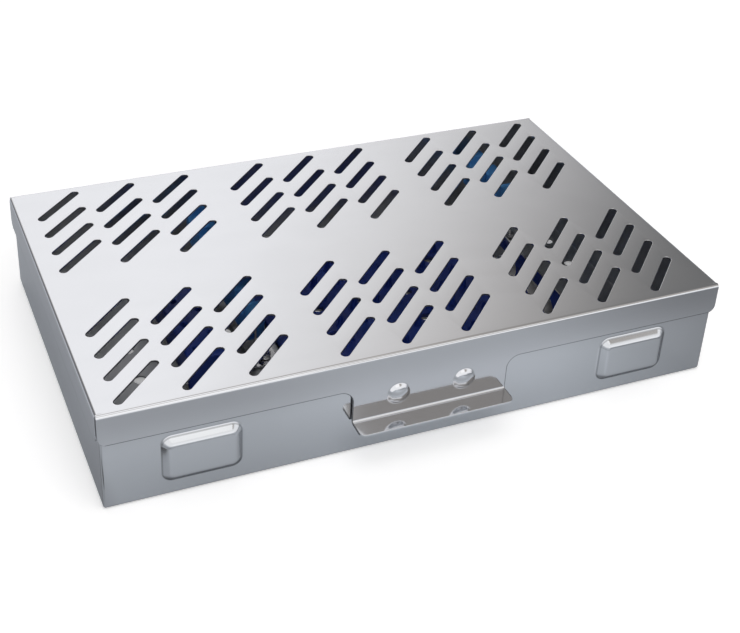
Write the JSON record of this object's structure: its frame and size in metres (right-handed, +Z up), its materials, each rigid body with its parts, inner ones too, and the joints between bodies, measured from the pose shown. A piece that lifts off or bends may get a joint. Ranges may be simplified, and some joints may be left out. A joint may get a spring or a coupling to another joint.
{
  "type": "sterilization case",
  "caption": "Shallow stainless steel sterilization case with a slotted, rear-hinged lid, a front snap tab with a finger lip, and a silicone instrument rack inside.",
  "frame": {"origin": "centre of the tray's flat underside", "axes": "+X to the right along the long side, +Y to the rear with the hinges, +Z up; -Y is the front with the latch tab"},
  "size_m": [0.29, 0.1968, 0.0484],
  "materials": {
    "polished_steel": "polished stainless steel sheet",
    "satin_steel": "satin stainless steel sheet and wire",
    "nut_steel": "polished stainless steel",
    "navy_silicone": "matte navy blue silicone",
    "sky_silicone": "matte light blue silicone"
  },
  "bodies": {
    "base": {"base_tray": "polished_steel", "hinge_left_base_leaf": "satin_steel", "hinge_left_pin": "satin_steel", "hinge_right_base_leaf": "satin_steel", "hinge_right_pin": "satin_steel", "left_rail": "satin_steel", "left_holder": "sky_silicone", "right_rail": "satin_steel", "right_holder": "sky_silicone", "partition": "satin_steel", "tip_frame": "satin_steel", "tip_block": "navy_silicone", "finger_mat": "navy_silicone", "nut_1": "nut_steel", "nut_2": "nut_steel", "nut_3": "nut_steel", "nut_4": "nut_steel", "nut_5": "nut_steel", "nut_6": "nut_steel", "nut_7": "nut_steel", "nut_8": "nut_steel"},
    "lid": {"lid": "polished_steel", "hinge_left_lid_leaf": "satin_steel", "hinge_right_lid_leaf": "satin_steel"}
  },
  "joints": [
    {"name": "lid_hinge", "type": "hinge", "parent": "base", "child": "lid", "pos_m": [0, 0.09365, 0.032], "axis": [-1, 0, 0], "range_deg": [0, 180]}
  ]
}
